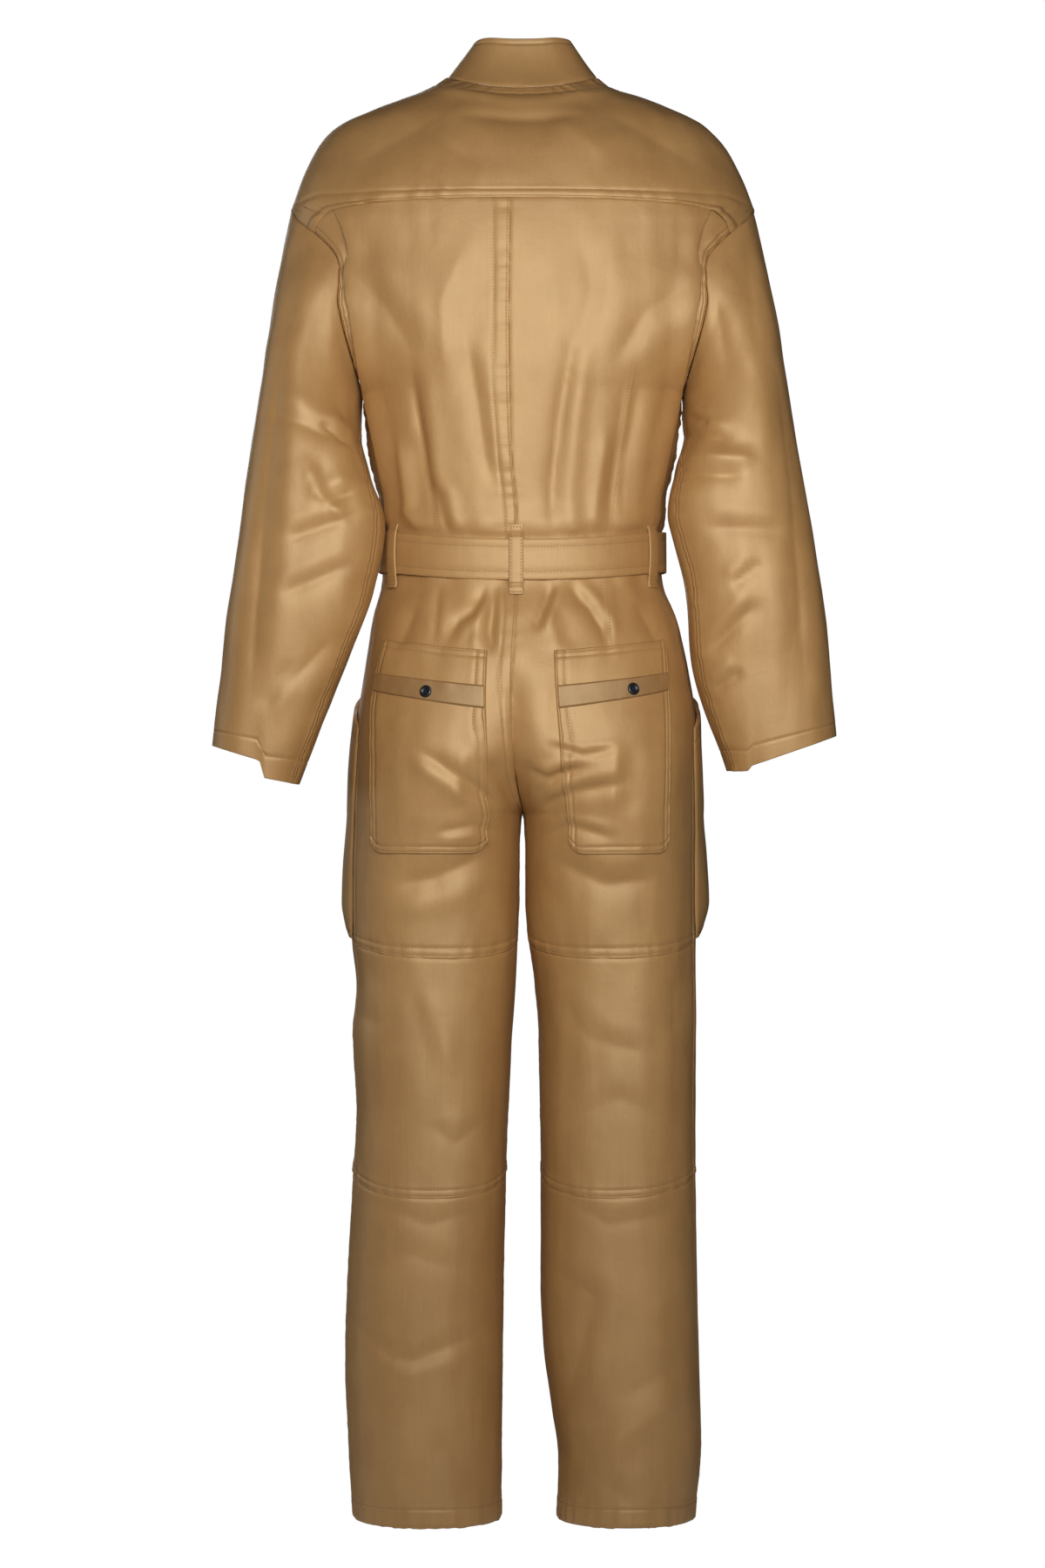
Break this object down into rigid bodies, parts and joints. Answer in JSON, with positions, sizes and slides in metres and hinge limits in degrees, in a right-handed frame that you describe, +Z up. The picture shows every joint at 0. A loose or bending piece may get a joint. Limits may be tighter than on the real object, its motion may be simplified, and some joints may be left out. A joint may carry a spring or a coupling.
{
  "type": "belted jumpsuit",
  "caption": "Long-sleeved one-piece work suit with a yoked back, action pleats, a belted waist, patch pockets and straight legs, hollow as if worn.",
  "frame": {"origin": "between the wearer's shoulders, at the height where the shoulders carry the garment, under the collar", "axes": "+Z up along the body, -Y out of the garment's front, +X towards the wearer's left"},
  "size_m": [0.66, 0.2544, 1.5716],
  "materials": {
    "cloth": "sateen, slightly shiny",
    "gunmetal": "dark plated metal"
  },
  "bodies": {
    "root": {"back_knee_left": "cloth", "back_knee_right": "cloth", "back_lower_left": "cloth", "back_lower_right": "cloth", "back_upper_left": "cloth", "back_upper_right": "cloth", "belt": "cloth", "belt_loop_back": "cloth", "belt_loop_back_left": "cloth", "belt_loop_back_right": "cloth", "belt_loop_front_left": "cloth", "belt_loop_front_right": "cloth", "bodice_back_left": "cloth", "bodice_back_right": "cloth", "bodice_front_left": "cloth", "bodice_front_right": "cloth", "buckle": "gunmetal", "collar": "cloth", "front_placket": "cloth", "pocket_left": "cloth", "pocket_right": "cloth", "pocket_welt_left": "cloth", "pocket_welt_right": "cloth", "side_pocket_left": "cloth", "side_pocket_right": "cloth", "sleeve_left": "cloth", "sleeve_right": "cloth", "snap_left": "gunmetal", "snap_right": "gunmetal", "trouser_front_left": "cloth", "trouser_front_right": "cloth", "yoke": "cloth"}
  },
  "joints": []
}
